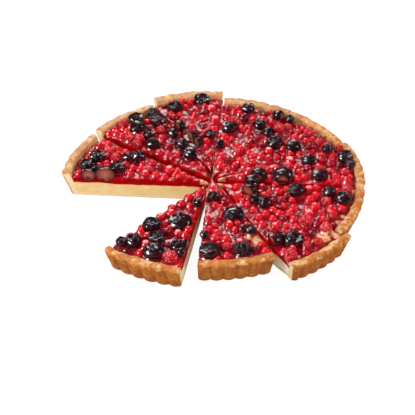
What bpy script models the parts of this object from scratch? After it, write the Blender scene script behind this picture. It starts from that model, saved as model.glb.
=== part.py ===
"""Fruit tart cut into wedges: a fluted shortcrust case, a cream layer and a heap of set berries.

Units are metres and radians, +Z is up, and the tart stands on z = 0. The round tart is cut into
twelve equal slices. Ten of them are here, each moved a little from its place in the ring. Every
slice is modelled around its own tip, with +X along its middle, and hangs on an empty.
"""

import math

import bmesh
import bpy
from mathutils import Matrix, Vector

MM = 0.001
TAU = math.tau

# ---- the whole tart
SLICES_IN_ROUND = 12
SLICE_ANGLE = TAU / SLICES_IN_ROUND
FIRST_MIDDLE = math.radians(10)
RIM_RADIUS = 142.5 * MM
FOOT_RADIUS = 134.5 * MM
RIM_HEIGHT = 26 * MM
WALL = 9 * MM
BASE = 2.8 * MM
GAP = 0.3 * MM

# ---- the fluted edge: one flute takes four steps of the turn
FLUTES_IN_SLICE = 6
FLUTE_DEPTH = 1.6 * MM
STEPS_PER_FLUTE = 4
CREST_UNEVENNESS = 0.5 * MM
CREST_WAVE = 34 * MM

# ---- the layers inside the case
CREAM_TOP = 15.0 * MM
CREAM_WAVE = 0.6 * MM
CREAM_WAVE_LENGTH = 58 * MM
CREAM_RINGS = 4
HEAP_TOP = 26.0 * MM
HEAP_WAVE = 1.8 * MM
HEAP_WAVE_LENGTH = 27 * MM
HEAP_DROP_AT_WALL = 3 * MM
HEAP_RINGS = 5
LAYER_STEPS = 7

# ---- the large dark berries
BERRY_SEGMENTS = 8
BERRY_RINGS = 6
BERRY_HEIGHT = 0.84
CROWN_DENT = 0.22
BERRY_SIT_HIGH = 29.6 * MM
BERRY_SIT_SHARE = 0.27
BRAMBLE_STRETCH = 1.3

WELD = 0.001 * MM

# ---- the slices, counted round from +X: (place in the ring, outward, sideways, turn in degrees)
SLICES = [
    (0, 5 * MM, 1.5 * MM, 0),
    (1, 2.5 * MM, 1 * MM, 0),
    (2, 4.5 * MM, 2 * MM, 0),
    (3, 16.5 * MM, -1 * MM, 0),
    (4, 4.5 * MM, -0.5 * MM, 0),
    (5, 3 * MM, 5 * MM, 1),
    (8, 8.5 * MM, -3.5 * MM, -4.5),
    (9, -5 * MM, -0.8 * MM, 0),
    (10, 15.5 * MM, 1.6 * MM, 0),
    (11, 5 * MM, -3 * MM, 0),
]

# ---- where the knife strayed: degrees by which a slice's first and last cut are off
STRAYED = {8: (-1.2, 0), 9: (0, -0.8)}

# ---- three dark berries of each slice: (distance from the tip, degrees from the middle, across)
BERRIES = {
    0: [(63 * MM, -9.5, 19 * MM), (98 * MM, -10, 15 * MM), (92 * MM, 5.5, 12.5 * MM)],
    1: [(82 * MM, 3, 15 * MM), (92.5 * MM, -7.5, 14.5 * MM), (91 * MM, 13.5, 11 * MM)],
    2: [(121 * MM, 2.5, 12.5 * MM), (83 * MM, 8, 14.5 * MM), (97 * MM, -9, 12 * MM)],
    3: [(115 * MM, 9, 14 * MM), (123 * MM, -5.5, 15 * MM), (79 * MM, 14.4, 13.5 * MM)],
    4: [(124.5 * MM, -2.5, 14 * MM), (110.5 * MM, 1.5, 14.5 * MM), (123.5 * MM, -11, 13 * MM)],
    5: [(115 * MM, 0.5, 14.5 * MM), (90 * MM, 7.5, 13.5 * MM), (100 * MM, 14.6, 17.5 * MM)],
    8: [(70 * MM, 4.5, 20 * MM), (87 * MM, -10.5, 16 * MM), (121 * MM, 1.5, 18 * MM)],
    9: [(69.5 * MM, 8, 19 * MM), (121.5 * MM, -10.5, 17.5 * MM), (123 * MM, 3.5, 15 * MM)],
    10: [(109 * MM, -5, 18 * MM), (102 * MM, -14.8, 14 * MM), (41 * MM, 6, 11 * MM)],
    11: [(78 * MM, 6.5, 14.5 * MM), (123.5 * MM, 5, 14.5 * MM), (34 * MM, 14.4, 13.5 * MM)],
}
BRAMBLES = {(4, 2), (9, 2)}

COLOURS = {
    "crust": ((0.62, 0.33, 0.12, 1), 0.75),
    "cream": ((0.80, 0.66, 0.38, 1), 0.6),
    "fruit": ((0.55, 0.01, 0.02, 1), 0.2),
    "berry": ((0.02, 0.008, 0.02, 1), 0.25),
}


def new_collection(name):
    collection = bpy.data.collections.new(name)
    bpy.context.scene.collection.children.link(collection)
    return collection


def new_material(name, colour, roughness):
    material = bpy.data.materials.new(name)
    material.use_nodes = True
    shader = material.node_tree.nodes["Principled BSDF"]
    shader.inputs["Base Color"].default_value = colour
    shader.inputs["Roughness"].default_value = roughness
    shader.inputs["Metallic"].default_value = 0
    return material


def new_object(name, shape, collection, parent, material=None):
    """Turn a bmesh into a smooth-shaded object that hangs on the slice's empty."""
    bmesh.ops.recalc_face_normals(shape, faces=shape.faces[:])
    mesh = bpy.data.meshes.new(name)
    shape.to_mesh(mesh)
    shape.free()
    mesh.shade_smooth()
    mesh.set_sharp_from_angle(angle=math.radians(40))
    thing = bpy.data.objects.new(name, mesh)
    thing.parent = parent
    collection.objects.link(thing)
    if material:
        mesh.materials.append(material)
    return thing


def cuts(place):
    """The directions of a slice's two cuts, counted from its middle."""
    first, last = STRAYED.get(place, (0, 0))
    return math.radians(first) - SLICE_ANGLE / 2, math.radians(last) + SLICE_ANGLE / 2


def spun_wedge(profile, place, steps):
    """Turn a closed profile of (radius, height) pairs from one cut of a slice to the other."""
    first, last = cuts(place)
    shape = bmesh.new()
    start = Matrix.Rotation(first, 3, "Z")
    corners = [shape.verts.new(start @ Vector((radius, 0, height))) for radius, height in profile]
    face = shape.faces.new(corners)
    bmesh.ops.spin(
        shape, geom=[face, *face.edges, *corners], cent=(0, 0, 0), axis=(0, 0, 1),
        angle=last - first, steps=steps, use_duplicate=False,
    )
    bmesh.ops.remove_doubles(shape, verts=shape.verts[:], dist=WELD)
    return shape


def wave(x, y, length):
    """A smooth uneven ripple between about -1 and 1."""
    across = math.sin(TAU * x / length) * math.cos(TAU * y / (0.83 * length))
    slant = math.sin(TAU * (0.6 * x + 0.8 * y) / (0.61 * length) + 1)
    return 0.6 * across + 0.4 * slant


def place_in_round(point, middle):
    """Where a point of a slice lay in the uncut tart."""
    return Matrix.Rotation(middle, 3, "Z") @ point


def inner_radius(height):
    """The radius of the wall's inner face, which leans out as it rises."""
    lean = (RIM_RADIUS - FOOT_RADIUS) / RIM_HEIGHT
    return FOOT_RADIUS + lean * min(height, RIM_HEIGHT - WALL / 2) - WALL


def shelves(inner, outer, height, count):
    """Points along a level line from one radius to another."""
    return [(inner + (outer - inner) * i / count, height) for i in range(count + 1)]


def crust(place, middle):
    """A slice of the case: a thin base and a leaning fluted wall with a rounded crest."""
    round_off = WALL / 4
    shoulder = RIM_HEIGHT - WALL / 2
    profile = [
        (0, 0),
        (FOOT_RADIUS, 0),
        (RIM_RADIUS, shoulder),
        (RIM_RADIUS - round_off, RIM_HEIGHT),
        (RIM_RADIUS - WALL + round_off, RIM_HEIGHT),
        (inner_radius(shoulder), shoulder),
        (inner_radius(BASE), BASE),
        (0, BASE),
    ]
    first, last = cuts(place)
    shape = spun_wedge(profile, place, STEPS_PER_FLUTE * FLUTES_IN_SLICE)
    for vert in shape.verts:
        radius = vert.co.xy.length
        angle = math.atan2(vert.co.y, vert.co.x)
        whole = place_in_round(vert.co, middle)
        if radius > FOOT_RADIUS - WALL / 2 and radius > inner_radius(vert.co.z) + WALL / 2:
            along = (angle - first) / (last - first)
            valley = 1 - abs(math.sin(math.pi * FLUTES_IN_SLICE * along))
            vert.co.xy *= 1 - valley * FLUTE_DEPTH / radius
        if vert.co.z > RIM_HEIGHT - WELD:
            vert.co.z += CREST_UNEVENNESS * wave(whole.x, whole.y, CREST_WAVE)
    return shape


def cream_height(whole):
    return CREAM_TOP + CREAM_WAVE * wave(whole.x, whole.y, CREAM_WAVE_LENGTH)


def cream_floor(whole):
    return BASE + GAP


def fruit_floor(whole):
    return cream_height(whole) + GAP


def heap_height(whole):
    """The heap's uneven top, which sinks a little where it meets the wall."""
    near_wall = max(0, whole.xy.length / inner_radius(HEAP_TOP) - 0.8) / 0.2
    ripple = wave(whole.x, whole.y, HEAP_WAVE_LENGTH)
    return HEAP_TOP + HEAP_WAVE * ripple - HEAP_DROP_AT_WALL * near_wall


def layer(place, middle, low, floor, floor_rings, high, top, top_rings):
    """A slice of one layer, whose level floor and top are then moved to their uneven heights.

    Splitting each quad along its shorter diagonal gives touching layers the same creases.
    """
    floor_line = shelves(0, inner_radius(low) - GAP, low, floor_rings)
    top_line = shelves(0, inner_radius(high) - GAP, high, top_rings)
    shape = spun_wedge(floor_line + top_line[::-1], place, LAYER_STEPS)
    for vert in shape.verts:
        height = top if vert.co.z > (low + high) / 2 else floor
        vert.co.z = height(place_in_round(vert.co, middle))
    quads = [face for face in shape.faces if len(face.verts) == 4]
    bmesh.ops.triangulate(shape, faces=quads, quad_method="SHORT_EDGE")
    return shape


def cream(place, middle):
    return layer(place, middle, BASE, cream_floor, 1, CREAM_TOP, cream_height, CREAM_RINGS)


def fruit(place, middle):
    low, high = (CREAM_TOP, fruit_floor, CREAM_RINGS), (HEAP_TOP, heap_height, HEAP_RINGS)
    return layer(place, middle, *low, *high)


def berry(distance, degrees, across, stretch, swell):
    """A flattened round berry with a dented crown, sunk to its waist in the heap."""
    shape = bmesh.new()
    radius = across / 2 + swell
    bmesh.ops.create_uvsphere(
        shape, u_segments=BERRY_SEGMENTS, v_segments=BERRY_RINGS, radius=radius,
    )
    crown = max(shape.verts, key=lambda vert: vert.co.z)
    crown.co.z *= 1 - CROWN_DENT
    turn = Matrix.Rotation(math.radians(degrees), 4, "Z")
    size = Matrix.Diagonal((1, stretch, BERRY_HEIGHT, 1))
    height = BERRY_SIT_HIGH - BERRY_SIT_SHARE * across
    shape.transform(turn @ Matrix.Translation((distance, 0, height)) @ size)
    return shape


def cut_at_knife(shape, place):
    """Trim a berry flush with the two cut faces of its slice."""
    for side, edge in zip((-1, 1), cuts(place)):
        outward = Vector((-math.sin(edge), math.cos(edge), 0)) * side
        cut = bmesh.ops.bisect_plane(
            shape, geom=shape.verts[:] + shape.edges[:] + shape.faces[:],
            plane_co=(0, 0, 0), plane_no=outward, clear_outer=True,
        )
        rim = [item for item in cut["geom_cut"] if isinstance(item, bmesh.types.BMEdge)]
        if rim:
            bmesh.ops.holes_fill(shape, edges=rim)
    return shape


def socket(owner, name, shape, cutters, parent):
    """Cut a berry's seat out of the fruit."""
    cutter = new_object(name, shape, cutters, parent)
    cutter.hide_render = True
    cutter.display_type = "WIRE"
    seat = owner.modifiers.new(name, "BOOLEAN")
    seat.operation = "DIFFERENCE"
    seat.solver = "EXACT"
    seat.object = cutter


def slice_frame(place, outward, sideways, turn, parent):
    """An empty at the slice's tip, with +X along the slice's middle."""
    middle = FIRST_MIDDLE + place * SLICE_ANGLE
    frame = bpy.data.objects.new(f"slice_frame_{place:02d}", None)
    frame.location = Matrix.Rotation(middle, 3, "Z") @ Vector((outward, sideways, 0))
    frame.rotation_euler.z = middle + math.radians(turn)
    frame.parent = parent
    bpy.context.scene.collection.objects.link(frame)
    return frame


def centre_on_footprint(root, parts):
    """Move the tart so that the middle of its footprint is at the origin."""
    bpy.context.view_layer.update()
    corners = [thing.matrix_world @ vert.co for thing in parts.objects for vert in thing.data.vertices]
    for axis in (0, 1):
        low = min(corner[axis] for corner in corners)
        high = max(corner[axis] for corner in corners)
        root.location[axis] = -(low + high) / 2


def build():
    for thing in list(bpy.data.objects):
        bpy.data.objects.remove(thing, do_unlink=True)
    parts = new_collection("fruit_tart")
    cutters = new_collection("cutters")
    paint = {name: new_material(name, *look) for name, look in COLOURS.items()}
    root = bpy.data.objects.new("tart_centre", None)
    bpy.context.scene.collection.objects.link(root)

    for number, (place, outward, sideways, turn) in enumerate(SLICES, start=1):
        middle = FIRST_MIDDLE + place * SLICE_ANGLE
        frame = slice_frame(place, outward, sideways, turn, root)
        new_object(f"crust_{number:02d}", crust(place, middle), parts, frame, paint["crust"])
        new_object(f"cream_{number:02d}", cream(place, middle), parts, frame, paint["cream"])
        heap = new_object(f"fruit_{number:02d}", fruit(place, middle), parts, frame, paint["fruit"])
        for index, (distance, degrees, across) in enumerate(BERRIES[place]):
            name = f"berry_{number:02d}_{index + 1}"
            stretch = BRAMBLE_STRETCH if (place, index) in BRAMBLES else 1
            whole = berry(distance, degrees, across, stretch, 0)
            new_object(name, cut_at_knife(whole, place), parts, frame, paint["berry"])
            seat = berry(distance, degrees, across, stretch, GAP)
            socket(heap, f"seat_{number:02d}_{index + 1}", seat, cutters, frame)

    centre_on_footprint(root, parts)


build()
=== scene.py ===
"""The looks of a sliced fruit tart: fluted shortcrust, cream, set jelly, currants and dark berries.

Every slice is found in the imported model: its tip, its two cut planes and its radii. All pieces are
then made in the slice's own terms, as a distance from the tip, an angle from the middle and a height.
"""

import itertools
import math

import bpy
import numpy as np
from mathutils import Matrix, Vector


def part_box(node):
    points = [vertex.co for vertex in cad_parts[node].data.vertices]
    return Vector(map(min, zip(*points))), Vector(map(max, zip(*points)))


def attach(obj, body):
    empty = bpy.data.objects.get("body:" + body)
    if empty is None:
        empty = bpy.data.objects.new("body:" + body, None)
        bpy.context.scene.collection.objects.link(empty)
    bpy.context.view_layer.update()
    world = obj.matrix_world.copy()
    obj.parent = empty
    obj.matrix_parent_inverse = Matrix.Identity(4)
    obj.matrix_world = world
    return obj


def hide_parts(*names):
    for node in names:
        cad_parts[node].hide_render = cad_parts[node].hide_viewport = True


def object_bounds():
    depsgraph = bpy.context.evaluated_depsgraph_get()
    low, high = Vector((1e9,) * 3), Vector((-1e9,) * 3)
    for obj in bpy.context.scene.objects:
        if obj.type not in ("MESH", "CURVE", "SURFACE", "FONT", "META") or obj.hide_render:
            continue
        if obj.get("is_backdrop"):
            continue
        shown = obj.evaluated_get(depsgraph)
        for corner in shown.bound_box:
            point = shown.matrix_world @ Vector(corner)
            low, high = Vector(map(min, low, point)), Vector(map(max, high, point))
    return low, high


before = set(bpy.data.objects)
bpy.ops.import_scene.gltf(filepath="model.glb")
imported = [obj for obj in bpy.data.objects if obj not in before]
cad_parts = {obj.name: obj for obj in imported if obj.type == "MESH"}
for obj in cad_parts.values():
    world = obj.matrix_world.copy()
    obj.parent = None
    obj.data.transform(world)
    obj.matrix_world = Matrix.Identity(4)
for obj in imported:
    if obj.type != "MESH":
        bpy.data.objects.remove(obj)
CAD_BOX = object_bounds()

MM = 0.001
TAU = math.tau
SLICES = range(1, 11)
NODE_BERRIES = (1, 2, 3)

# ---- camera, in the tart's own frame
TART_CENTRE = (-0.45 * MM, -6.2 * MM)
CAMERA_DISTANCE = 1.52
CAMERA_HEIGHT_ANGLE = 35.6
CAMERA_DIP = 35.95
CAMERA_PAN = 0.24
CAMERA_LENS = 135.5

# ---- light
WORLD_DIFFUSE = 0.72
WORLD_GLOSSY = 0.012
FLOOR_GLOW = 0.9
FLOOR_BOUNCE = 0.38
FLOOR_GLOSS = 0.02

# ---- lamps: place, width, height, radiance; lights only reach surfaces, windows only show in gloss
LAMPS = {
    "key_light": ((-1.0, -0.5, 0.6), 0.5, 0.45, 14.5),
    "back_light": ((-0.2, 1.0, 0.8), 0.8, 0.45, 5),
    "side_light": ((0.7, -0.35, 0.95), 0.45, 0.4, 7),
    "front_light": ((0.1, -1.2, 0.35), 0.7, 0.5, 0.8),
    "corner_light": ((0.85, -0.95, 0.4), 0.5, 0.5, 4.2),
    "key_window": ((-0.9, -0.45, 0.54), 0.42, 0.34, 27),
    "back_window": ((-0.18, 0.9, 0.72), 0.75, 0.3, 6.5),
    "top_window": ((-0.3, 0.2, 1.1), 0.24, 0.24, 8),
    "side_window": ((0.9, 0.1, 0.6), 0.2, 0.2, 9),
}

# ---- crust
FLUTES = 6
STEPS_PER_FLUTE = 12
WALL = 9 * MM
BASE = 2.8 * MM
ROLL = 4.8 * MM
CASE_HEIGHT = 27 * MM

# ---- layers and fruit
WELD = 0.002 * MM
GAP = 0.1 * MM
NARROW = (5 * MM, 12 * MM)
TIGHT = (5.5 * MM, 9.5 * MM)
CREAM_LEVEL = 15 * MM
JELLY_LEVEL = 21.8 * MM
CROWN_DENT = 0.22
BRAMBLES = ((5, 3), (8, 3))
BERRY_SEAT = 29.6
CURRANT_SEAT = 25.2 * MM
RASPBERRY_SEAT = 25 * MM
HALVED_SEATS = {4: 26 * MM, 6: 23.7 * MM}
CURRANT_SIZES = {10.8 * MM: 24, 9.6 * MM: 70, 8.4 * MM: 220, 7 * MM: 420}
COATED_SHARE = 0.46
# cut faces in the shade of narrow gaps, painted near white as painted light: slice: (side, from, to
# distance in mm)
PAINTED_LIGHT_CUTS = {9: (-1, 8, 30), 7: (1, 45, 80), 4: (-1, 60, 120), 5: (-1, 60, 120)}
FRUIT_TOP = 32.2 * MM


# ======================== small tools

def noise(points, size, seed=0):
    """Smooth noise from -1 to 1, one value a point, with lumps of the given size."""
    cell = points / size + 31.7 * (seed + 1)
    base = np.floor(cell).astype(np.int64)
    part = cell - base
    part = part * part * (3 - 2 * part)
    total = np.zeros(len(cell))
    for corner in itertools.product((0, 1), repeat=3):
        key = (base + corner) * (73856093, 19349663, 83492791)
        mixed = (key[:, 0] ^ key[:, 1] ^ key[:, 2]) * 2654435761 & 0xFFFFFFFF
        mixed = (mixed ^ (mixed >> 15)) * 2246822519 & 0xFFFFFFFF
        weight = np.prod(np.where(corner, part, 1 - part), axis=1)
        total += weight * (mixed / 2**31 - 1)
    return total


def ease(value, low, high):
    """Rises smoothly from 0 to 1 as a value goes from low to high."""
    share = np.clip((value - low) / (high - low), 0, 1)
    return share * share * (3 - 2 * share)


def length(vectors):
    return np.linalg.norm(vectors, axis=-1)


def marks(first, second=0, third=0):
    """A mark for each point: three numbers for its material, and a closing 1."""
    return np.stack(np.broadcast_arrays(first, second, third, 1.0), axis=-1)


def between(first, second, steps):
    """Rows of points that go from one line to another in even steps."""
    share = np.linspace(0, 1, steps)[:, None, None]
    return first * (1 - share) + second * share


class Builder:
    """Collects grids and small closed shapes, and turns them into one mesh object."""

    def __init__(self):
        self.points = []
        self.faces = []
        self.slots = []
        self.marks = []
        self.count = 0

    def add(self, points, faces, slots=None, mark=(0, 0, 0, 1)):
        """Add points and groups of faces; mark is four numbers for each point, or for all."""
        points = points.reshape(-1, 3)
        self.points.append(points)
        self.marks.append(np.broadcast_to(mark, (len(points), 4)))
        for group, own in zip(faces, slots or [0] * len(faces)):
            self.faces.append(np.asarray(group) + self.count)
            self.slots.append(np.broadcast_to(own, len(group)).astype(int))
        self.count += len(points)

    def grid(self, points, slot=0, mark=(0, 0, 0, 1), flip=False):
        """Add a rows by columns by 3 array as a sheet of quads."""
        rows, columns = points.shape[:2]
        index = np.arange(rows * columns).reshape(rows, columns)
        quads = np.stack([index[:-1, :-1], index[1:, :-1], index[1:, 1:], index[:-1, 1:]], axis=-1)
        quads = quads.reshape(-1, 4)[:, ::-1 if flip else 1]
        self.add(points, [quads], [slot], mark)

    def build(self, name, materials, weld=False, sharp=40):
        """One object of all that was added; weld joins points that lie on each other."""
        points, values, faces = np.concatenate(self.points), np.concatenate(self.marks), self.faces
        if weld:
            used = np.unique(np.concatenate([group.reshape(-1) for group in faces]))
            keys = np.round(points[used] / WELD).astype(np.int64)
            _, first, inverse = np.unique(keys, axis=0, return_index=True, return_inverse=True)
            number = np.zeros(len(points), int)
            number[used] = inverse.reshape(-1)
            points, values = points[used][first], values[used][first]
            faces = [number[group] for group in faces]
        polygons, slots = [], []
        for group, own in zip(faces, self.slots):
            for row, slot in zip(group.tolist(), own.tolist()):
                corners = list(dict.fromkeys(row))
                if len(corners) > 2:
                    polygons.append(corners)
                    slots.append(slot)
        mesh = bpy.data.meshes.new(name)
        mesh.from_pydata(points.tolist(), [], polygons)
        mesh.polygons.foreach_set("material_index", slots)
        mark = mesh.attributes.new("mark", "FLOAT_COLOR", "POINT")
        mark.data.foreach_set("color", values.astype(np.float32).reshape(-1))
        mesh.validate()
        mesh.shade_smooth()
        mesh.set_sharp_from_angle(angle=math.radians(sharp))
        for material in materials:
            mesh.materials.append(material)
        thing = bpy.data.objects.new(name, mesh)
        bpy.context.scene.collection.objects.link(thing)
        return thing


def settle(piece, slot, *nodes):
    """Fix a finished piece to the tart and let it stand for its solids."""
    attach(piece, "root")
    if nodes:
        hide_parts(*nodes)


# ======================== the slices, read from the model

def node_points(node):
    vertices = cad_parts[node].data.vertices
    points = np.zeros(len(vertices) * 3)
    vertices.foreach_get("co", points)
    return points.reshape(-1, 3)


class Slice:
    """One wedge of the tart: its tip, its middle direction, its radii and its neighbours."""

    def __init__(self, number):
        self.number = number
        points = node_points(f"crust_{number:02d}")
        self.top = points[:, 2].max()
        self.shoulder = self.top - ROLL
        floor = points[points[:, 2] < 0.1 * MM]
        crest = points[points[:, 2] > self.top - 2 * MM].mean(axis=0)
        self.tip = floor[length(floor[:, :2] - crest[:2]).argmax()][:2]
        rough = math.atan2(*(crest[:2] - self.tip)[::-1])
        reach = points[:, :2] - self.tip
        far = reach[length(reach) > 100 * MM]
        turn = np.arctan2(far[:, 1], far[:, 0]) - rough
        turn = (turn + math.pi) % TAU - math.pi
        self.half = (turn.max() - turn.min()) / 2
        self.middle = rough + (turn.max() + turn.min()) / 2
        self.rim_radius = length(reach).max()
        self.foot_radius = length(floor[:, :2] - self.tip).max()
        self.random = np.random.default_rng(100 + number)
        self.beside = {}

    def world(self, radius, angle, height):
        """A point, or arrays of points, from slice terms to the tart's frame."""
        turn = self.middle + angle
        x = self.tip[0] + radius * np.cos(turn)
        y = self.tip[1] + radius * np.sin(turn)
        return np.stack(np.broadcast_arrays(x, y, height), axis=-1)

    def spot(self, distance, degrees, height=0):
        """A point from a distance in millimetres and an angle in degrees."""
        return self.world(distance * MM, math.radians(degrees), height)

    def local(self, points):
        """Distance from the tip and angle from the middle of points in the tart's frame."""
        reach = points[..., :2] - self.tip
        turn = np.arctan2(reach[..., 1], reach[..., 0]) - self.middle
        return length(reach), (turn + math.pi) % TAU - math.pi

    def outer(self, height):
        lean = (self.rim_radius - self.foot_radius) / self.shoulder
        return self.foot_radius + lean * np.minimum(height, self.shoulder)

    def inner(self, height):
        return self.outer(height) - WALL

    def cut_normal(self, side):
        edge = self.middle + side * self.half
        return np.array([-math.sin(edge), math.cos(edge), 0]) * side

    def beyond(self, points, side):
        """How far points lie outside one of the two cut planes."""
        return (points[..., :2] - self.tip) @ self.cut_normal(side)[:2]

    def on_cut(self, points, side):
        """1 for points on one of the two cut planes, and 0 for those well inside it."""
        return ease(self.beyond(points, side), -0.05 * MM, 0)

    def gap(self, points):
        """How wide the gap is between points on the cut faces and the next slice."""
        width = np.full(len(points), 99 * MM)
        for side, other in self.beside.items():
            here = other.beyond(points, -side)
            width = np.where(self.beyond(points, side) > -0.3 * MM, here, width)
        return width

    def spare(self, points, side):
        """How far fruit may lean out over a narrow gap without touching the next slice."""
        if side not in self.beside:
            return 0.15 * MM
        gap = self.beside[side].beyond(points, -side) - self.beyond(points, side)
        narrow = 1 - ease(gap, *TIGHT)
        clear = ease(self.local(points)[0], 8 * MM, 20 * MM)
        return 0.15 * MM + clear * narrow * np.clip(0.46 * gap - 0.25 * MM, 0, 2.4 * MM)


slices = {number: Slice(number) for number in SLICES}
for number in (1, 2, 3, 4, 5, 7, 8, 9, 10):  # two slices are missing between 6 and 7
    lower, upper = slices[number], slices[number % 10 + 1]
    lower.beside[1], upper.beside[-1] = upper, lower


# ======================== materials

def srgb(red, green, blue):
    """A colour from its usual 0 to 255 values, in linear light."""
    def linear(value):
        value /= 255
        return value / 12.92 if value <= 0.04045 else ((value + 0.055) / 1.055) ** 2.4
    return (linear(red), linear(green), linear(blue), 1)


class Nodes:
    """A short way to write a material's nodes; colours are given as their usual 0 to 255 values."""

    def __init__(self, name):
        self.material = bpy.data.materials.new(name)
        self.material.use_nodes = True
        self.tree = self.material.node_tree
        self.shader = self.tree.nodes["Principled BSDF"]
        self.place = self.new("TexCoord").outputs["Object"]
        self.colour = None

    def new(self, kind, **inputs):
        """A new node; its inputs take numbers or what other nodes give."""
        node = self.tree.nodes.new("ShaderNode" + kind)
        self.feed(node, **inputs)
        return node

    def link(self, source, target):
        if isinstance(source, bpy.types.NodeSocket):
            self.tree.links.new(source, target)
        else:
            target.default_value = source

    def feed(self, node, **inputs):
        for name, value in inputs.items():
            self.link(value, node.inputs[name.replace("_", " ")])

    def set(self, **inputs):
        self.feed(self.shader, **inputs)

    def mark(self):
        """The mesh's mark, as three separate numbers."""
        node = self.new("Attribute")
        node.attribute_name = "mark"
        return self.new("SeparateColor", Color=node.outputs["Color"]).outputs

    def axis(self, name):
        """The point's place along X, Y or Z, in metres."""
        return self.new("SeparateXYZ", Vector=self.place).outputs[name]

    def noise(self, size, detail=3, roughness=0.5, stretch=(1, 1, 1)):
        place = self.new("Mapping", Vector=self.place, Scale=stretch).outputs["Vector"]
        node = self.new("TexNoise", Vector=place, Scale=1 / size, Detail=detail, Roughness=roughness)
        return node.outputs["Fac"]

    def cells(self, size):
        return self.new("TexVoronoi", Vector=self.place, Scale=1 / size).outputs["Distance"]

    def ramp(self, value, *stops):
        """Numbers or colours along a value: (position, number or colour) pairs."""
        node = self.new("ValToRGB", Fac=value)
        elements = node.color_ramp.elements
        while len(elements) < len(stops):
            elements.new(0.5)
        for element, (position, level) in zip(elements, stops):
            element.position = position
            element.color = srgb(*level) if isinstance(level, tuple) else (level, level, level, 1)
        return node.outputs["Color"]

    def over(self, new, share, *stops):
        """Lay a new colour over the material's own by a share, or by a ramp of it."""
        node = self.new("Mix", Factor=self.ramp(share, *stops) if stops else share)
        node.data_type = "RGBA"
        self.link(self.colour, node.inputs[6])
        self.link(srgb(*new) if isinstance(new, tuple) else new, node.inputs[7])
        self.colour = node.outputs[2]

    def math(self, operation, first, second, clamp=False):
        node = self.new("Math")
        node.operation, node.use_clamp = operation, clamp
        self.link(first, node.inputs[0])
        self.link(second, node.inputs[1])
        return node.outputs[0]

    def times(self, first, second, clamp=False):
        return self.math("MULTIPLY", first, second, clamp)

    def waver(self, value, noise, amount):
        """A value made uneven by a noise."""
        return self.math("ADD", value, self.times(self.math("SUBTRACT", noise, 0.5), amount))

    def bump(self, *layers, socket="Normal"):
        """Relief from (value, depth in metres) pairs, stacked."""
        normal = None
        for value, depth in layers:
            node = self.new("Bump", Strength=1, Distance=depth, Height=value)
            if normal:
                self.link(normal, node.inputs["Normal"])
            normal = node.outputs["Normal"]
        self.link(normal, self.shader.inputs[socket])

    def glaze(self, roughness, coat, specular, film):
        """Wet fruit: a soft gloss of its own under a clear, rippled film of glaze."""
        self.set(Roughness=roughness, Specular_IOR_Level=specular)
        self.set(Coat_Weight=coat, Coat_Roughness=film, Coat_IOR=1.65)
        self.bump((self.noise(1.8 * MM, 2, 0.5), 0.1 * MM), socket="Coat Normal")

    def glow_through(self, weight, radius, scale):
        """Soft flesh that lets light in, as deep as the radius says for each colour."""
        self.set(Subsurface_Weight=weight, Subsurface_Radius=radius, Subsurface_Scale=scale)


def crust_skin():
    """Baked outside of the case: deep golden below and paler up to the crest, blotched on the crest;
    browner on the near side, towards -Y, as painted shade, and paler on the back crest as painted light.
    """
    nodes = Nodes("crust_skin")
    inside = nodes.mark()[0]
    patches = nodes.noise(11 * MM, 4, 0.6)
    blots = nodes.noise(7 * MM, 3, 0.6)
    speckle = nodes.noise(3.2 * MM, 4, 0.65)
    grain = nodes.noise(1.1 * MM, 4, 0.7)
    streaks = nodes.noise(5 * MM, 3, 0.55, stretch=(1, 1, 0.14))
    height = nodes.math("DIVIDE", nodes.axis("Z"), CASE_HEIGHT, clamp=True)
    across = nodes.math("ADD", nodes.axis("Y"), nodes.times(nodes.axis("X"), -0.6))
    front_shade = nodes.times(across, -6, clamp=True)
    back = nodes.times(across, 6, clamp=True)
    high = nodes.ramp(height, (0.72, 0.1), (0.9, 1.0))
    shown = nodes.math("MAXIMUM", high, inside)
    pale = nodes.times(nodes.ramp(blots, (0.38, 0.8), (0.5, 0.0)), high)
    brown = nodes.times(nodes.ramp(blots, (0.53, 0.0), (0.64, 0.75)), high)
    # colour by height: deep golden low on the wall, paler up to the crest; partly the bake's own colour,
    # partly painted shade on the wall and painted light on the crest
    nodes.colour = nodes.ramp(
        nodes.waver(height, patches, 0.4),
        (0.0, (176, 92, 22)),
        (0.3, (192, 106, 28)),
        (0.72, (200, 114, 38)),
        (0.92, (200, 130, 68)),
        (1.0, (206, 144, 88)),
    )
    # painted shade: browner on the near side, where the walls face away from the lamps behind
    nodes.over((178, 100, 40), nodes.times(front_shade, 0.62))
    nodes.over((158, 78, 24), patches, (0.48, 0.0), (0.64, 0.7))
    nodes.over((160, 82, 26), streaks, (0.5, 0.0), (0.68, 0.5))
    nodes.over((222, 158, 84), streaks, (0.32, 0.4), (0.46, 0.0))
    # painted light: paler, pinker crest and inner wall at the back, as if lit by the lamps behind
    nodes.over((222, 184, 156), nodes.times(nodes.times(back, shown), 0.5))
    nodes.over((226, 188, 134), pale)
    nodes.over((188, 102, 44), brown)
    nodes.over((228, 186, 128), nodes.times(inside, 0.55))
    nodes.over((150, 80, 30), speckle, (0.52, 0.0), (0.7, 0.45))
    nodes.over((232, 182, 118), speckle, (0.3, 0.5), (0.42, 0.0))
    nodes.over((140, 72, 28), grain, (0.56, 0.0), (0.7, 0.5))
    nodes.set(Base_Color=nodes.colour, Roughness=0.6, Specular_IOR_Level=0.12)
    nodes.bump((speckle, 0.9 * MM), (grain, 0.45 * MM))
    return nodes.material


def crust_crumb():
    """The case where it is cut: pale short crumb, browner towards its baked skin."""
    nodes = Nodes("crust_crumb")
    skin = nodes.mark()[0]
    grain = nodes.noise(1.1 * MM, 4, 0.7)
    nodes.colour = nodes.ramp(grain, (0.3, (224, 184, 128)), (0.7, (248, 222, 176)))
    nodes.over((180, 112, 54), skin, (0.03, 0.9), (0.2, 0.0))
    nodes.set(Base_Color=nodes.colour, Roughness=0.75)
    nodes.bump((grain, 0.5 * MM), (nodes.cells(1.7 * MM), 0.3 * MM))
    return nodes.material


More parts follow.
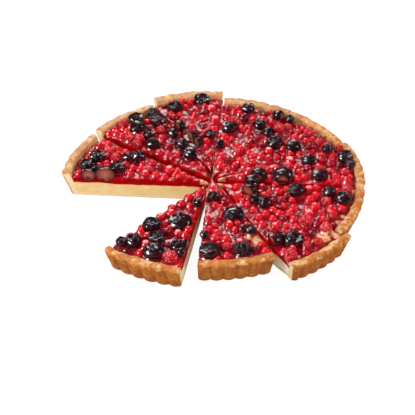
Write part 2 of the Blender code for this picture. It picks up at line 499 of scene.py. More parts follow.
def cream_look():
    """Baked cream: smooth and pale yellow, with fine pores, knife drag and juice along its top; cut faces
    in the shade of narrow gaps are painted near white as painted light.
    """
    nodes = Nodes("cream")
    soaked, pale, _ = nodes.mark()
    cloud = nodes.noise(9 * MM, 3, 0.5)
    drag = nodes.noise(3.4 * MM, 3, 0.5, stretch=(0.5, 0.5, 1.1))
    pores = nodes.ramp(nodes.cells(1.9 * MM), (0.05, 1.0), (0.16, 0.0))
    nodes.colour = nodes.ramp(cloud, (0.3, (222, 186, 122)), (0.7, (234, 204, 144)))
    nodes.over((218, 176, 110), drag, (0.5, 0.0), (0.8, 0.3))
    nodes.over((204, 160, 98), nodes.times(pores, 0.45))
    nodes.over((236, 84, 58), soaked, (0.3, 0.0), (0.95, 0.8))
    # painted light: near white on cut faces that lie in the shade of a narrow gap
    nodes.over((252, 236, 202), pale)
    nodes.set(Base_Color=nodes.colour, Roughness=0.5)
    nodes.glow_through(0.15, (1, 0.7, 0.4), 2 * MM)
    nodes.bump((drag, 0.35 * MM), (nodes.times(pores, -1), 0.25 * MM))
    return nodes.material


def jelly_look(name, deep, fruit, wine, coat):
    """Set red glaze: bright red over the fruit's tops, deep between the fruit and low on their sides, where
    the darkening is painted shade; wine-dark by the dark berries.
    """
    nodes = Nodes(name)
    fruit_tint_and_shade, near_dark, cream = nodes.mark()
    cloud = nodes.noise(5 * MM, 4, 0.55)
    fine = nodes.noise(1.5 * MM, 3, 0.6)
    streaks = nodes.noise(2.6 * MM, 3, 0.6, stretch=(0.5, 1.2, 1))
    milky = nodes.ramp(streaks, (0.4, (220, 104, 84)), (0.52, (240, 194, 142)))
    # bright where the glaze lies thin over fruit; the deep red between and below the fruit is painted shade
    nodes.colour = nodes.ramp(nodes.waver(fruit_tint_and_shade, cloud, 0.9), (0.15, deep), (0.8, fruit))
    nodes.over(wine, near_dark, (0.25, 0.0), (1.0, 0.85))
    nodes.over(fruit, fine, (0.5, 0.0), (0.75, 0.35))
    nodes.over(milky, nodes.times(cream, 0.92))
    nodes.set(Base_Color=nodes.colour)
    nodes.glaze(0.24, coat, 0.12 * coat, 0.14)
    nodes.bump((cloud, (0.35 + 0.6 * coat) * MM), (fine, (0.3 + 0.3 * coat) * MM))
    return nodes.material


def fruit_look(name, ripe, bright, deep):
    """Glazed soft red fruit; each one's own tone comes from its mark, which for the currants also holds
    painted shade on their lower parts.
    """
    nodes = Nodes(name)
    tone, veins, dried = nodes.mark()
    nodes.colour = nodes.ramp(tone, (0.0, deep), (0.5, ripe), (1.0, bright))
    nodes.over(bright, nodes.times(veins, 0.35))
    nodes.over(deep, nodes.noise(3 * MM, 3, 0.6), (0.42, 0.0), (0.7, 0.7))
    nodes.over((52, 20, 10), dried)
    nodes.set(Base_Color=nodes.colour)
    nodes.glaze(0.22, 1.0, 0.15, 0.06)
    nodes.glow_through(0.25, (1, 0.12, 0.1), 2.2 * MM)
    nodes.bump((nodes.noise(2.2 * MM, 3, 0.6), 0.6 * MM), (nodes.noise(1.1 * MM, 2, 0.5), 0.26 * MM))
    return nodes.material


def dark_skin():
    """Near-black glazed skin, wrinkled by the oven, with red juice low down and a trace of bloom."""
    nodes = Nodes("dark_skin")
    tone, crown, juice = nodes.mark()
    nodes.colour = nodes.ramp(tone, (0.0, (14, 5, 8)), (0.6, (34, 7, 13)), (1.0, (80, 9, 24)))
    nodes.over((70, 56, 70), nodes.noise(3.5 * MM, 4, 0.65), (0.5, 0.0), (0.8, 0.3))
    nodes.over((76, 8, 24), nodes.noise(5 * MM, 2, 0.5), (0.5, 0.0), (0.7, 0.6))
    nodes.over((84, 4, 18), nodes.times(juice, 0.7))
    # painted shade: darker inside the crown's pit
    nodes.over((8, 5, 8), nodes.times(crown, 0.6))
    nodes.set(Base_Color=nodes.colour)
    nodes.glaze(0.24, 1.0, 0.2, 0.06)
    nodes.bump((nodes.noise(2.4 * MM, 4, 0.6), 0.7 * MM), (nodes.noise(0.9 * MM, 2, 0.5), 0.12 * MM))
    return nodes.material


def berry_flesh():
    """The cut face of a dark berry: a dark rim, mauve-brown flesh and a paler heart."""
    nodes = Nodes("berry_flesh")
    grain = nodes.noise(1.5 * MM, 4, 0.6)
    nodes.colour = nodes.ramp(
        nodes.waver(nodes.mark()[1], grain, 0.3),
        (0.0, (172, 102, 74)),
        (0.45, (150, 74, 54)),
        (0.78, (114, 44, 38)),
        (0.93, (60, 18, 26)),
        (1.0, (24, 8, 14)),
    )
    nodes.set(Base_Color=nodes.colour, Roughness=0.3, Coat_Weight=0.4, Coat_Roughness=0.12)
    nodes.glow_through(0.15, (1, 0.4, 0.3), 1.5 * MM)
    nodes.bump((grain, 0.35 * MM))
    return nodes.material


looks = {
    "skin": crust_skin(),
    "crumb": crust_crumb(),
    "cream": cream_look(),
    "jelly": jelly_look("jelly_top", (134, 0, 20), (210, 6, 28), (54, 2, 16), 0.9),
    "jelly_cut": jelly_look("jelly_cut", (148, 0, 6), (208, 4, 14), (80, 2, 12), 0.08),
    "currant": fruit_look("currant", (190, 0, 28), (232, 38, 54), (72, 0, 14)),
    "raspberry": fruit_look("raspberry", (206, 28, 42), (236, 84, 80), (150, 8, 26)),
    "dark": dark_skin(),
    "flesh": berry_flesh(),
}


# ======================== crust

def stations(wedge):
    """Matching points along the case's outer and inner faces, from the tip out and up the wall."""
    faces = []
    for foot, floor, bend, wall in (
        (wedge.foot_radius, 0, 1.2 * MM, wedge.outer), (wedge.inner(BASE), BASE, 2.5 * MM, wedge.inner),
    ):
        flat = np.linspace(0, foot - bend, 13)
        turn = np.radians((30, 60))
        rise = np.linspace(floor + bend, wedge.shoulder, 26)
        radius = np.concatenate([flat, foot - bend + bend * np.sin(turn), wall(rise)])
        height = np.concatenate([flat * 0 + floor, floor + bend * (1 - np.cos(turn)), rise])
        faces.append(np.stack([radius, height], axis=1))
    return faces


def crust_relief(wedge, points):
    """Flutes on the outside and the wall's baked unevenness, in slice terms."""
    radius, angle = wedge.local(points)
    height = points[:, 2]
    middle = wedge.outer(height) - WALL / 2
    outside = ease(radius, middle, middle + 0.46 * WALL)
    phase = FLUTES * (angle + wedge.half) / (2 * wedge.half)
    phase = phase + 0.05 * noise(points, 12 * MM, 20)
    scallop = np.abs(np.sin(math.pi * phase)) ** 0.8
    depth = (2.4 - 0.6 * ease(height, 2 * MM, wedge.top - 5 * MM)) * MM
    depth = depth * (1 - 0.75 * ease(height, wedge.top - 6 * MM, wedge.top - 1.5 * MM))
    in_wall = ease(radius, wedge.inner(height) - 6 * MM, wedge.inner(height))
    rising = in_wall * ease(height, 0.1 * MM, 2 * MM)
    crest = ease(height, wedge.top - 7 * MM, wedge.top - 1 * MM)
    move = -depth * (1 - scallop) * outside
    move = move + rising * (0.4 * MM * noise(points, 8 * MM, 1) + 0.22 * MM * noise(points, 2.6 * MM, 2))
    move = move + rising * 0.1 * MM * noise(points, 1.2 * MM, 21)
    inside = 1 - ease(radius, middle - 0.3 * WALL, middle)
    move = move + crest * inside * (0.9 * MM * noise(points, 6 * MM, 22) - 0.3 * MM)
    lift = crest * (0.8 * MM * noise(points, 10 * MM, 3) + 0.5 * MM * noise(points, 4 * MM, 4))
    lift = lift + crest * (0.22 * MM * noise(points, 1.7 * MM, 23) - 0.75 * MM)
    lift = lift - crest * 0.5 * MM * (1 - scallop)
    return radius + move, angle, height + lift


def slant(wedge, points, side):
    """How far one crumbled end of the case leans back from its cut."""
    if (wedge.number, side) != (9, -1):
        return 0
    low = 1 - np.clip(points[:, 2] / wedge.top, 0, 1)
    return 5 * MM * low * ease(wedge.local(points)[0], 100 * MM, 128 * MM)


def cut_crumble(wedge, points, depth=0.22 * MM):
    """Roughness of the cut faces, which only ever moves them inwards."""
    for side in (-1, 1):
        dent = depth * (1 + 0.5 * noise(points, 1.6 * MM, 5) + 0.5 * noise(points, 4 * MM, 6))
        inset = wedge.on_cut(points, side) * dent * ease(wedge.local(points)[0], 1 * MM, 6 * MM)
        inset = inset + slant(wedge, points, side) * ease(wedge.beyond(points, side), -14 * MM, 0)
        points = points - inset[:, None] * wedge.cut_normal(side)
    return points


def make_crust(wedge):
    outer, inner = stations(wedge)
    across = 8
    angles = np.linspace(-wedge.half, wedge.half, FLUTES * STEPS_PER_FLUTE + 1)
    builder = Builder()

    def sweep(profile):
        return wedge.world(profile[:, None, 0], angles[None, :], profile[:, None, 1])

    builder.grid(sweep(outer), flip=True)
    builder.grid(sweep(inner), mark=(1, 0, 0, 1))
    turn = np.linspace(0, math.pi, across + 1)
    middle = (outer[-1] + inner[-1]) / 2
    crest = np.stack([
        middle[0] + (outer[-1][0] - middle[0]) * np.cos(turn),
        middle[1] + (wedge.top - middle[1]) * np.sin(turn) ** 0.62,
    ], axis=1)
    inward = np.repeat(np.clip(turn / math.pi * 2 - 1, 0, 1), len(angles))
    builder.grid(sweep(crest), flip=True, mark=marks(inward))
    section = between(outer, inner, across + 1).swapaxes(0, 1)
    depth = np.tile(np.linspace(0, 1, across + 1), len(outer))
    lid = between(section[-1], crest, 5)
    lid_depth = np.repeat(np.linspace(0.5, 0, 5), across + 1)
    for side in (-1, 1):
        for rows, skin in ((section, depth), (lid, lid_depth)):
            cap = wedge.world(rows[..., 0], side * wedge.half, rows[..., 1])
            builder.grid(cap, slot=1, flip=side < 0, mark=marks(skin))
    points = wedge.world(*crust_relief(wedge, np.concatenate(builder.points)))
    builder.points = [cut_crumble(wedge, points)]
    piece = builder.build(f"crust_look_{wedge.number:02d}", [looks["skin"], looks["crumb"]], weld=True)
    settle(piece, "crust", f"crust_{wedge.number:02d}")


# ======================== layers

def cream_top(wedge, points):
    """The cream's surface: the level of its solid, gently waved."""
    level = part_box(f"cream_{wedge.number:02d}")[1].z - 0.6 * MM
    flat = points * (1, 1, 0)
    return level + 0.9 * MM * noise(flat, 15 * MM, 7) + 0.6 * MM * noise(flat, 5.5 * MM, 8)


def layer(wedge, floor, roof, rows, columns, levels):
    """The sheets of a closed slice of a layer, from a floor and a roof: (level, height of points)."""
    builder = Builder()
    shares = np.linspace(0, 1, rows)
    angles = np.linspace(-wedge.half, wedge.half, columns)

    def surface(level, height):
        wall = wedge.inner(level) - GAP
        plan = wedge.world(shares[:, None] * wall, angles[None, :], level)
        plan[..., 2] = height(plan.reshape(-1, 3)).reshape(rows, columns)
        return plan

    bottom, top = surface(*floor), surface(*roof)
    builder.grid(top)
    coarse = (columns - 1) // 5
    builder.grid(bottom[:-1, ::coarse], flip=True)
    index = np.arange(2 * columns).reshape(2, columns)
    strips = [[*index[1, start:start + coarse + 1], index[0, start + coarse], index[0, start]]
              for start in range(0, columns - 1, coarse)]
    builder.add(bottom[-2:], [strips])
    builder.grid(between(bottom[-1], top[-1], levels))
    for column, flip in ((0, False), (-1, True)):
        builder.grid(between(bottom[:, column], top[:, column], levels), slot=1, flip=flip)
    return builder


def make_cream(wedge):
    floor = (BASE, lambda points: np.full(len(points), BASE + GAP))
    roof = (CREAM_LEVEL, lambda points: cream_top(wedge, points))
    builder = layer(wedge, floor, roof, 90, 26, 10)
    points = np.concatenate(builder.points)
    narrow = 1 - ease(wedge.gap(points), *NARROW)
    tipward = 1 - ease(wedge.local(points)[0], 30 * MM, 75 * MM)
    depth = (0.7 + narrow * (4 + 14 * tipward)) * MM
    soaked = np.exp(-(cream_top(wedge, points) - points[:, 2]) / depth)
    # painted light: the listed cut faces are marked pale where a narrow gap keeps them in shade
    pale = 0
    if wedge.number in PAINTED_LIGHT_CUTS:
        side, near, far = PAINTED_LIGHT_CUTS[wedge.number]
        pale = wedge.on_cut(points, side) * ease(wedge.local(points)[0], near * MM, far * MM)
    builder.points = [cut_crumble(wedge, points, 0.14 * MM)]
    builder.marks = [marks(soaked, pale)]
    piece = builder.build(f"cream_look_{wedge.number:02d}", [looks["cream"]] * 2, weld=True)
    settle(piece, "cream", f"cream_{wedge.number:02d}")


def make_jelly(wedge, fruit):
    """The set glaze that holds the fruit: it coats the low-set ones and climbs the sides of the rest."""
    centres, radii, kinds, climb = map(np.array, zip(*fruit))
    coated, dark = kinds == "coated", kinds == "dark"

    def level(points):
        flat = points * (1, 1, 0)
        height = JELLY_LEVEL + 0.9 * MM * noise(flat, 16 * MM, 9) + 0.5 * MM * noise(flat, 5 * MM, 10)
        height = height + 0.32 * MM * noise(flat, 2.4 * MM, 11)
        radius, angle = wedge.local(points)
        wall = wedge.inner(JELLY_LEVEL)
        height = height - 2.4 * MM * ease(radius, wall - 16 * MM, wall)
        edge = radius * np.sin(wedge.half - np.abs(angle))
        return height - 0.7 * MM * np.exp(-edge / (1.1 * MM))

    def surface(points):
        away = length(points[:, None, :2] - centres[:, :2])
        soft = 0.45 * MM
        total = np.exp((level(points) - JELLY_LEVEL) / soft)
        dome = np.sqrt(np.maximum(radii**2 - away**2, 0)) + 0.25 * MM
        dome = np.where(away < radii, dome, 0.25 * MM - 2.4 * (away - radii)) + centres[:, 2] - JELLY_LEVEL
        beside = np.maximum(away - 0.9 * radii, 0)
        rise = climb * radii + centres[:, 2] - JELLY_LEVEL
        skirt = rise * np.exp(-beside / (1.3 * MM)) - 0.6 * beside
        bump = np.where(coated, dome, skirt)
        bump = np.where(kinds == "hidden", -1, bump)
        total = total + np.exp(np.clip(bump / soft, -30, 12)).sum(axis=1)
        return JELLY_LEVEL + soft * np.log(total)

    floor = (CREAM_LEVEL, lambda points: cream_top(wedge, points) + GAP)
    builder = layer(wedge, floor, (JELLY_LEVEL, surface), 160, 76, 11)
    points = np.concatenate(builder.points)
    near_top = ease(points[:, 2], 17 * MM, 20 * MM)
    for side in (-1, 1):
        face = np.flatnonzero(wedge.on_cut(points, side) > 0.5)
        near = np.flatnonzero((wedge.beyond(centres, side) > -radii - 0.5 * MM) & ~dark)
        away = points[face][:, None] - centres[near]
        normal = wedge.cut_normal(side)
        depth = wedge.beyond(centres[near], side)
        flat = np.sqrt(np.maximum((away**2).sum(axis=2) - (away @ normal) ** 2, 0))
        skin = radii[near] + 0.2 * MM
        reach = np.sqrt(np.maximum(skin**2 - flat**2, 0)) + depth
        reach = np.where(flat < skin, reach, -9)
        out = reach.max(axis=1, initial=-9)
        lean = wedge.spare(points[face], side)
        closed = 1 - ease(wedge.gap(points[face]), *TIGHT)
        base = -0.75 * MM + 0.3 * MM * noise(points[face], 2.5 * MM, 12) + closed * (lean + 0.45 * MM)
        out = np.clip(np.maximum(out, base), -1.2 * MM, lean)
        out = out * ease(points[face][:, 2], 15.2 * MM, 16.5 * MM)
        out = out * ease(wedge.local(points[face])[0], 1 * MM, 7 * MM)
        out = out - slant(wedge, points[face], side)
        points[face] += out[:, None] * normal
    # painted shade: the glaze mark goes from fruit red over each fruit's top to deep red low on its sides
    # and between fruit
    away = length(points[:, None] - centres) - radii
    strength = np.where(coated, 1, 0.55) * ~dark
    lift = ease((points[:, None, 2] - centres[:, 2]) / radii, -0.1, 0.85)
    red = (strength * np.exp(-np.maximum(away, 0) / (0.9 * MM)) * (0.25 + 0.75 * lift)).max(axis=1)
    # painted light: on the cut faces the glaze is painted brighter red where a narrow gap keeps it in shade
    face = np.maximum(wedge.on_cut(points, -1), wedge.on_cut(points, 1))
    narrow = 1 - ease(wedge.gap(points), *NARROW)
    red = red * (1 - face) + face * (0.4 * red + 0.6 * narrow)
    wine = np.exp(-np.maximum(np.where(dark, away, 9), 0) / (2.2 * MM)).max(axis=1)
    cream = 0
    for distance, degrees, size in PALE.get(wedge.number, ()):
        centre = wedge.spot(distance, degrees)
        gap = length(points[:, :2] - centre[:2]) / MM + 0.35 * size * noise(points, 3 * MM, 13)
        cream = np.maximum(cream, 1 - ease(gap, 0.5 * size, size))
    builder.points = [points]
    builder.marks = [marks(red, wine, cream * near_top)]
    red = [looks["jelly"], looks["jelly_cut"]]
    piece = builder.build(f"jelly_look_{wedge.number:02d}", red, weld=True, sharp=60)
    settle(piece, "fruit", f"fruit_{wedge.number:02d}")


# ======================== fruit

def unit_ball(segments, rings, crowd=1):
    """Points of a ball around +Z and the quads and triangles that close it; crowd gathers rings at +Z."""
    down = math.pi * np.linspace(0, 1, rings + 1)[1:-1, None] ** crowd
    around = np.linspace(0, TAU, segments, endpoint=False)
    body = (np.sin(down) * np.cos(around), np.sin(down) * np.sin(around), np.cos(down))
    body = np.stack(np.broadcast_arrays(*body), axis=-1).reshape(-1, 3)
    points = np.concatenate([body, [[0, 0, 1], [0, 0, -1]]])
    index = np.arange(len(body)).reshape(rings - 1, segments)
    beside = np.roll(index, -1, axis=1)
    quads = np.stack([index[:-1], index[1:], beside[1:], beside[:-1]], axis=-1).reshape(-1, 4)
    top = np.stack([np.full(segments, len(body)), index[0], beside[0]], axis=-1)
    bottom = np.stack([np.full(segments, len(body) + 1), beside[-1], index[-1]], axis=-1)
    return points, [quads, np.concatenate([top, bottom])]


def turned(points, axis):
    """Turn points so that +Z points along axis."""
    axis = np.asarray(axis) / length(axis)
    side = np.cross((0.31, 0.95, 0.02), axis)
    side /= length(side)
    return points @ np.array([side, np.cross(axis, side), axis])


def press(points, origin, normal, proud=0):
    """Flatten what lies beyond a plane against it, and say which points that moved."""
    beyond = (points - origin) @ normal - proud
    hit = beyond > 0
    return points - np.where(hit, beyond, 0)[:, None] * normal, hit


def trim(wedge, points):
    """Press fruit that sticks out of the slice against its cut planes."""
    tip = np.array([*wedge.tip, 0])
    pressed = np.zeros(len(points), bool)
    for side in (-1, 1):
        proud = wedge.spare(points, side)
        points, hit = press(points, tip, wedge.cut_normal(side), proud)
        pressed |= hit
    return points, pressed


def tilted(random, most):
    """A direction within so many degrees of straight up."""
    lean, turn = math.radians(most) * math.sqrt(random.random()), TAU * random.random()
    return np.array([math.sin(lean) * math.cos(turn), math.sin(lean) * math.sin(turn), math.cos(lean)])


def under_top(points, centre):
    """Sink a berry's upper half, where needed, to keep it under the tart's highest fruit."""
    over = max(points[:, 2].max() - FRUIT_TOP, 0)
    share = np.clip((points[:, 2] - centre[2] + 2 * MM) / (points[:, 2].max() - centre[2] + 2 * MM), 0, 1)
    return points - (0, 0, 1) * (over * share)[:, None]


CURRANT = unit_ball(20, 14)
DARK = unit_ball(44, 34, 1.6)
DRUPELET = unit_ball(9, 6)


def add_currant(builder, wedge, centre, size, tone, random):
    """A redcurrant: taut or half burst, with faint meridians and a dried flower at one end."""
    points, faces = CURRANT
    around = np.arctan2(points[:, 1], points[:, 0])
    pole = ease(points[:, 2], 0.94, 1.0)
    veins = ease(np.cos(8 * around), 0.6, 1) * (1 - np.abs(points[:, 2]))
    shape = points * (1, 1, 0.94) * (1 + 0.16 * pole[:, None] - 0.012 * veins[:, None])
    burst = 0.36 * random.random() ** 1.6
    dents = noise(points, 0.8, int(random.integers(1, 900)))
    shape = shape * (1 + 0.07 * dents - 1.6 * burst * np.clip(dents + 0.1, 0, 1))[:, None]
    axis = (random.normal(), random.normal(), random.normal() + 0.3)
    world = turned(shape, axis) * size / 2 * (1, 1, 1 - burst) + centre
    world, pressed = trim(wedge, world)
    # painted shade: each currant's tone is darkened on its lower part; it is also darker where pressed flat
    # on a cut
    shade_low = 1 - ease((world[:, 2] - centre[2]) / size, -0.2, 0.4)
    tone = tone * (1 - 0.75 * shade_low) * (1 - 0.7 * pressed)
    builder.add(world, faces, mark=marks(tone, veins, pole))


def dark_shape(points, random, wrinkle):
    """A dark berry around +Z: its crown a deep pit with a raised, five-lobed lip and a scar within."""
    around = np.arctan2(points[:, 1], points[:, 0])
    tilt = np.arccos(np.clip(points[:, 2], -1, 1))
    mouth = 0.48 + 0.3 * random.random()
    ragged = mouth * (1 + 0.07 * np.cos(5 * around) + 0.05 * np.cos(3 * around + TAU * random.random()))
    lip = 0.13 * np.exp(-((tilt - ragged) / 0.1) ** 2) * (0.6 + 0.4 * np.cos(5 * around))
    pit = (0.28 + 0.14 * random.random()) * ease(ragged - tilt, 0, 0.2)
    scar = 0.07 * np.exp(-((tilt - 0.42 * mouth) / 0.06) ** 2)
    seed = int(random.integers(1, 500))
    folds = noise(points, 0.6, seed) * 0.06
    for size, depth in ((0.75, 0.11), (0.38, 0.06), (0.2, 0.025)):
        ridges = np.abs(noise(points * (1, 1, 0.6), size, seed + int(100 * size))) ** 0.6
        folds = folds + depth * (0.5 - ridges)
    grow = 1 + lip + scar - pit + wrinkle * folds * (0.4 + 0.6 * ease(tilt, 0.2, 0.6))
    return points * (1, 1, 0.92) * grow[:, None], ease(ragged - tilt, 0.03, 0.2)


def add_dark(builder, wedge, centre, size, random, facing=None, wrinkle=1.0, spread=(1, 1, 0.86), tilt=34):
    """A dark berry in the heap; where a knife went through it, its flesh shows.

    facing is the outward direction of a cut of the berry's own, through its middle.
    """
    points, faces = DARK
    cut = [side for side in (-1, 1) if wedge.beyond(centre, side) > -size * 0.42]
    axis, tone = tilted(random, tilt), 0.7 * random.random()
    if facing is not None:
        axis = -facing
    elif cut:
        axis = np.array([0, 0, 0.05]) - wedge.cut_normal(cut[0])
    shape, crown = dark_shape(points, random, wrinkle * (0.6 if cut else 1))
    world = under_top(turned(shape, axis) * size / 2 * spread + centre, centre)
    world, pressed = trim(wedge, world)
    if facing is not None:
        world, own = press(world, centre, facing)
        pressed |= own
    middle = world[pressed].mean(axis=0) if pressed.any() else centre
    away = length(world - middle)
    across = np.clip(away / (away[pressed].max() if pressed.any() else 1), 0, 1)
    juice = 1 - ease(world[:, 2], JELLY_LEVEL + 0.5 * MM, JELLY_LEVEL + 3.5 * MM)
    mark = marks(tone, np.where(pressed, across, crown), juice)
    builder.add(world, faces, [pressed[group].all(axis=1) for group in faces], mark)


def add_cluster(builder, wedge, centre, size, random, tone, spread=(1, 1, 0.85)):
    """A raspberry or bramble: rows of drupelets round a blunt cone."""
    points, faces = DRUPELET
    axis = (random.normal(), random.normal(), 0.5 + random.random())
    rows = 7
    for row in range(rows + 1):
        share = min((row + 0.5) / rows, 1)
        ring = math.sin(math.pi * (0.12 + 0.8 * share)) ** 0.7 if row < rows else 0
        count = max(1, round(ring * 11))
        for step in range(count):
            turn = TAU * (step + 0.5 * (row % 2)) / count + 0.15 * random.normal()
            spot = np.array([ring * math.cos(turn), ring * math.sin(turn), 1.1 * (2 * share - 1)])
            bead = points * (0.26 + 0.03 * random.normal()) * (1, 1, 0.95) + spot * 0.74
            world, _ = trim(wedge, turned(bead, axis) * spread * size / 2 + centre)
            juice = 1 - ease(world[:, 2], JELLY_LEVEL + 0.5 * MM, JELLY_LEVEL + 3.5 * MM)
            own = np.clip(tone + 0.12 * random.normal(), 0, 1)
            builder.add(world, faces, mark=marks(own, 0, juice))


# ---- fruit beside the three dark berries with solids of each slice: (distance, degrees, across)
SMALL_DARK = {
    1: [(129, 4, 14), (130.5, -2, 9), (117, 12.3, 10), (39.5, -8.5, 15)],
    2: [(124, 12, 9)],
    3: [(123, -13, 11.5), (50, 12.7, 10)],
    4: [(56, -9.4, 9.5)],
    5: [(110, -11.3, 15), (92, 2, 11), (78, 7.7, 13), (59, -11.4, 13), (40.5, -11.5, 17), (80, -12, 11)],
    6: [(120.5, 8.5, 12), (111, 10.5, 8), (86, -5.5, 11), (78, -9, 12.5)],
    7: [(102.5, -1.3, 14.5), (117.5, -9, 14), (125.5, -12.6, 9.5), (108.5, 11.4, 13),
        (104, 14, 10), (117, 14, 9), (38.5, 14.2, 10)],
    8: [(39.5, -6, 11), (99.5, 12, 9.5), (100.5, -13.2, 8)],
    9: [(50.5, 8, 10.5), (101, -9.5, 8)],
    10: [(109.5, 8.7, 11.5), (36, -11.4, 13)],
}
HALVED = {
    4: [(57, 11.5, 15), (44, 9.5, 13)],
    6: [(116, 14.8, 14)],
}
RASPBERRIES = {
    1: [(129.5, 11.8, 9)],
    2: [(107, 12, 11), (109, 14.3, 9.5), (113.5, 9.3, 9), (121.5, -1, 10), (120, -10.7, 9)],
    5: [(104, 10.8, 11), (94, 8.6, 10), (90.5, 14, 10), (127, 4.2, 10), (94, -7.9, 9)],
    6: [(98, -2.6, 11), (108, -7, 10)],
    7: [(124, 10.2, 15)],
    8: [(116, -2.6, 9)],
    9: [(125.5, -12, 12), (122, -2.5, 9), (125, 2.8, 9), (96.5, 11, 14), (117, 12.6, 12)],
    10: [(109, 1.3, 9.5), (125, 13, 11)],
}
# ---- open glaze, and cream that shows through: (distance, degrees, radius)
POOLS = {
    2: [(62, 9, 4), (100, 3, 4)],
    3: [(74, -2, 7), (46, -1, 5)],
    4: [(100, 5, 4)],
    7: [(95, 7, 5), (112, 6, 4), (55, 3, 4)],
    8: [(57, -8, 7), (112, 11.5, 5), (90, 0, 4)],
    10: [(88, -4, 6)],
}
PALE = {
    1: [(2, 0, 6)],
    6: [(2, 0, 7)],
    8: [(110, 13, 6), (104, 9.4, 3.5)],
    9: [(122, 8.5, 8), (119, 3, 3.5), (127, 13, 5), (128, -9, 3)],
    10: [(128, 14, 6), (130, -8.5, 5), (130, -4, 3.5), (2, 0, 6)],
}


def solid_berry(node):
    """Where a berry's solid is and how wide it is, also when the knife has cut it."""
    points = node_points(node)
    lowest = points[points[:, 2].argmin()]
    reach = length(points[:, :2] - lowest[:2]).max()
    tall = (points[:, 2].max() - lowest[2]) / (2 - CROWN_DENT)
    return np.array([lowest[0], lowest[1], lowest[2] + tall]), reach


def fill_slice(wedge, heap):
    """Place all the fruit of a slice; returns each one's centre, radius and kind for the glaze."""
    random = wedge.random
    fruit, taken = [], []

    def claim(centre, radius, kind):
        climb = (-0.3 if kind == "dark" else -0.1) + 0.25 * random.random()
        fruit.append((centre, radius, kind, climb))
        taken.append((*centre[:2], radius))

    for index in NODE_BERRIES:
        node = f"berry_{wedge.number:02d}_{index}"
        centre, reach = solid_berry(node)
        centre = centre + (0, 0, 0.6 * MM)
        builder = Builder()
        if (wedge.number, index) in BRAMBLES:
            seat = centre - (0, 0, 1 * MM)
            add_cluster(builder, wedge, seat, 2 * reach * 0.9, random, 0.3, (0.95, 0.95, 0.78))
            reach *= 0.85
        else:
            add_dark(builder, wedge, centre, 2 * reach * 1.12, random)
        piece = builder.build(f"berry_look_{wedge.number:02d}_{index}", [looks["dark"], looks["flesh"]])
        settle(piece, "berry", node)
        claim(centre, reach, "dark")

    def spots(table):
        for distance, degrees, size in table.get(wedge.number, ()):
            yield wedge.spot(distance, degrees, (BERRY_SEAT - 0.28 * size) * MM), size * MM

    for centre, size in spots(SMALL_DARK):
        add_dark(heap["dark"], wedge, centre, size * 1.12, random)
        claim(centre, size / 2, "dark")
    for centre, size in spots(HALVED):
        centre[2] = HALVED_SEATS[wedge.number]
        facing = wedge.cut_normal(1) if wedge.number == 4 else None
        add_dark(heap["halved"], wedge, centre, size, random, facing)
        claim(centre, size / 2, "dark")
    for centre, size in spots(RASPBERRIES):
        centre[2] = RASPBERRY_SEAT
        add_cluster(heap["raspberry"], wedge, centre, size, random, 0.5)
        claim(centre, size / 2, "proud")
    for distance, degrees, radius in POOLS.get(wedge.number, []) + PALE.get(wedge.number, []):
        taken.append((*wedge.spot(distance, degrees)[:2], radius * MM))

    wall_radius = wedge.inner(24 * MM)
    for size, tries in CURRANT_SIZES.items():
        for _ in range(tries):
            distance = 6 * MM + math.sqrt(random.random()) * (wall_radius - size / 2 - 6 * MM)
            angle = (2 * random.random() - 1) * wedge.half
            own = size * (0.94 + 0.12 * random.random())
            centre = wedge.world(distance, angle, 0)
            if any(math.hypot(centre[0] - x, centre[1] - y) < 0.86 * (r + own / 2) for x, y, r in taken):
                continue
            if distance * math.sin(wedge.half - abs(angle)) < 0.32 * own:
                continue
            wall = ease(distance, wall_radius - 14 * MM, wall_radius)
            centre[2] = CURRANT_SEAT - 0.3 * own * (0.4 + random.random()) - 2 * MM * wall
            stain = max((math.exp(-max(math.dist(centre[:2], dark[:2]) - radius, 0) / (4 * MM))
                         for dark, radius, kind, _ in fruit if kind == "dark"), default=0)
            tone = np.clip(0.15 + 0.85 * random.random() - 0.6 * stain, 0, 1)
            bare = noise(centre[None] * (1, 1, 0), 17 * MM, 14)[0]
            small = 0.3 * (size < 8 * MM)
            if random.random() < COATED_SHARE + small + 0.5 * ease(bare, 0.05, 0.4):
                centre[2] -= (0.4 + 1.4 * random.random()) * MM
                claim(centre, own / 2, "coated")
            else:
                add_currant(heap["currant"], wedge, centre, own, tone, random)
                claim(centre, own / 2, "proud")

    for side in (-1, 1):
        spots_taken = []
        for _ in range(400):
            distance = 8 * MM + random.random() * (wall_radius - 14 * MM)
            height = (17.6 + 3.2 * random.random()) * MM
            own = (3.0 + 1.4 * random.random()) * MM
            if any(math.hypot(distance - x, height - z) < 0.9 * (own + r) for x, z, r in spots_taken):
                continue
            spots_taken.append((distance, height, own))
            centre = wedge.world(distance, side * wedge.half, height)
            fruit.append((centre - wedge.cut_normal(side) * own * 0.85, own, "hidden", 0))
    return fruit


def make_fruit():
    heap = {kind: Builder() for kind in ("currant", "dark", "halved", "raspberry")}
    for wedge in slices.values():
        make_jelly(wedge, fill_slice(wedge, heap))
    dark = [looks["dark"], looks["flesh"]]
    settle(heap["currant"].build("redcurrants", [looks["currant"]]), "fruit")
    settle(heap["dark"].build("small_dark_berries", dark), "berry")
    settle(heap["halved"].build("halved_berries", dark), "berry")
    settle(heap["raspberry"].build("raspberries", [looks["raspberry"]]), "fruit")


for wedge in slices.values():
    make_crust(wedge)
    make_cream(wedge)
make_fruit()


# ======================== floor, light and camera

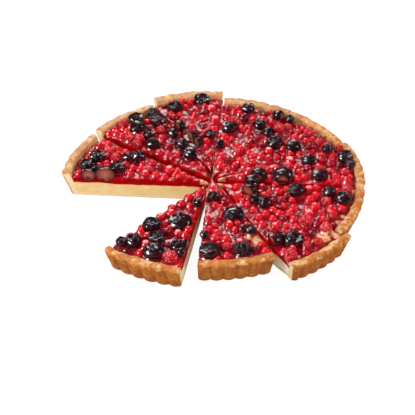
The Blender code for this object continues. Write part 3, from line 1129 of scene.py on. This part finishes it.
def make_stage():
    builder = Builder()
    side = np.linspace(-1.6, 1.6, 3)
    plan = np.stack(np.meshgrid(side, side, indexing="ij") + [np.zeros((3, 3))], axis=-1)
    builder.grid(plan)
    nodes = Nodes("floor")
    rays = nodes.new("LightPath").outputs
    bounce = nodes.times(rays["Is Diffuse Ray"], FLOOR_BOUNCE - FLOOR_GLOSS)
    seen = nodes.times(rays["Is Camera Ray"], FLOOR_GLOW - FLOOR_GLOSS)
    glow = nodes.math("ADD", nodes.math("ADD", bounce, seen), FLOOR_GLOSS)
    nodes.set(Base_Color=(0.14, 0.14, 0.14, 1), Roughness=0.9)
    nodes.set(Emission_Color=(1, 1, 1, 1), Emission_Strength=glow)
    builder.build("floor", [nodes.material])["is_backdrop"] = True


def softbox(name, place, width, height, radiance):
    """A rectangular light that faces the tart, given by how bright its surface is."""
    data = bpy.data.lights.new(name, "AREA")
    data.shape = "RECTANGLE"
    data.size, data.size_y = width, height
    data.energy = radiance * math.pi * width * height
    lamp = bpy.data.objects.new(name, data)
    lamp.location = place
    x, y, z = place
    lamp.rotation_euler = (math.atan2(math.hypot(x, y), z), 0, math.atan2(y, x) + math.pi / 2)
    lamp.visible_diffuse = name.endswith("light")
    lamp.visible_glossy = name.endswith("window")
    bpy.context.scene.collection.objects.link(lamp)


def make_light():
    world = bpy.data.worlds.new("studio")
    world.use_nodes = True
    tree = world.node_tree
    background = tree.nodes["Background"].inputs
    background["Color"].default_value = (1, 1, 1, 1)
    rays = tree.nodes.new("ShaderNodeLightPath").outputs
    target = background["Strength"]
    for kind, level in (("Is Camera Ray", 1), ("Is Glossy Ray", WORLD_GLOSSY)):
        strength = tree.nodes.new("ShaderNodeMapRange")
        strength.inputs["To Max"].default_value = level
        tree.links.new(rays[kind], strength.inputs["Value"])
        tree.links.new(strength.outputs["Result"], target)
        target = strength.inputs["To Min"]
    target.default_value = WORLD_DIFFUSE
    bpy.context.scene.world = world
    for name, lamp in LAMPS.items():
        softbox(name, *lamp)


def make_camera():
    data = bpy.data.cameras.new("camera")
    data.lens = CAMERA_LENS
    data.sensor_width = 36
    camera = bpy.data.objects.new("camera", data)
    lift = math.radians(CAMERA_HEIGHT_ANGLE)
    camera.location = (
        TART_CENTRE[0], TART_CENTRE[1] - CAMERA_DISTANCE * math.cos(lift), CAMERA_DISTANCE * math.sin(lift),
    )
    camera.rotation_euler = (math.radians(90 - CAMERA_DIP), 0, math.radians(CAMERA_PAN))
    bpy.context.scene.collection.objects.link(camera)
    bpy.context.scene.camera = camera
    bpy.context.scene.view_settings.view_transform = "Standard"


make_stage()
make_light()
make_camera()

boxes = {"cad": CAD_BOX, "visual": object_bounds()}
{name: [list(corner) for corner in box] for name, box in boxes.items()}
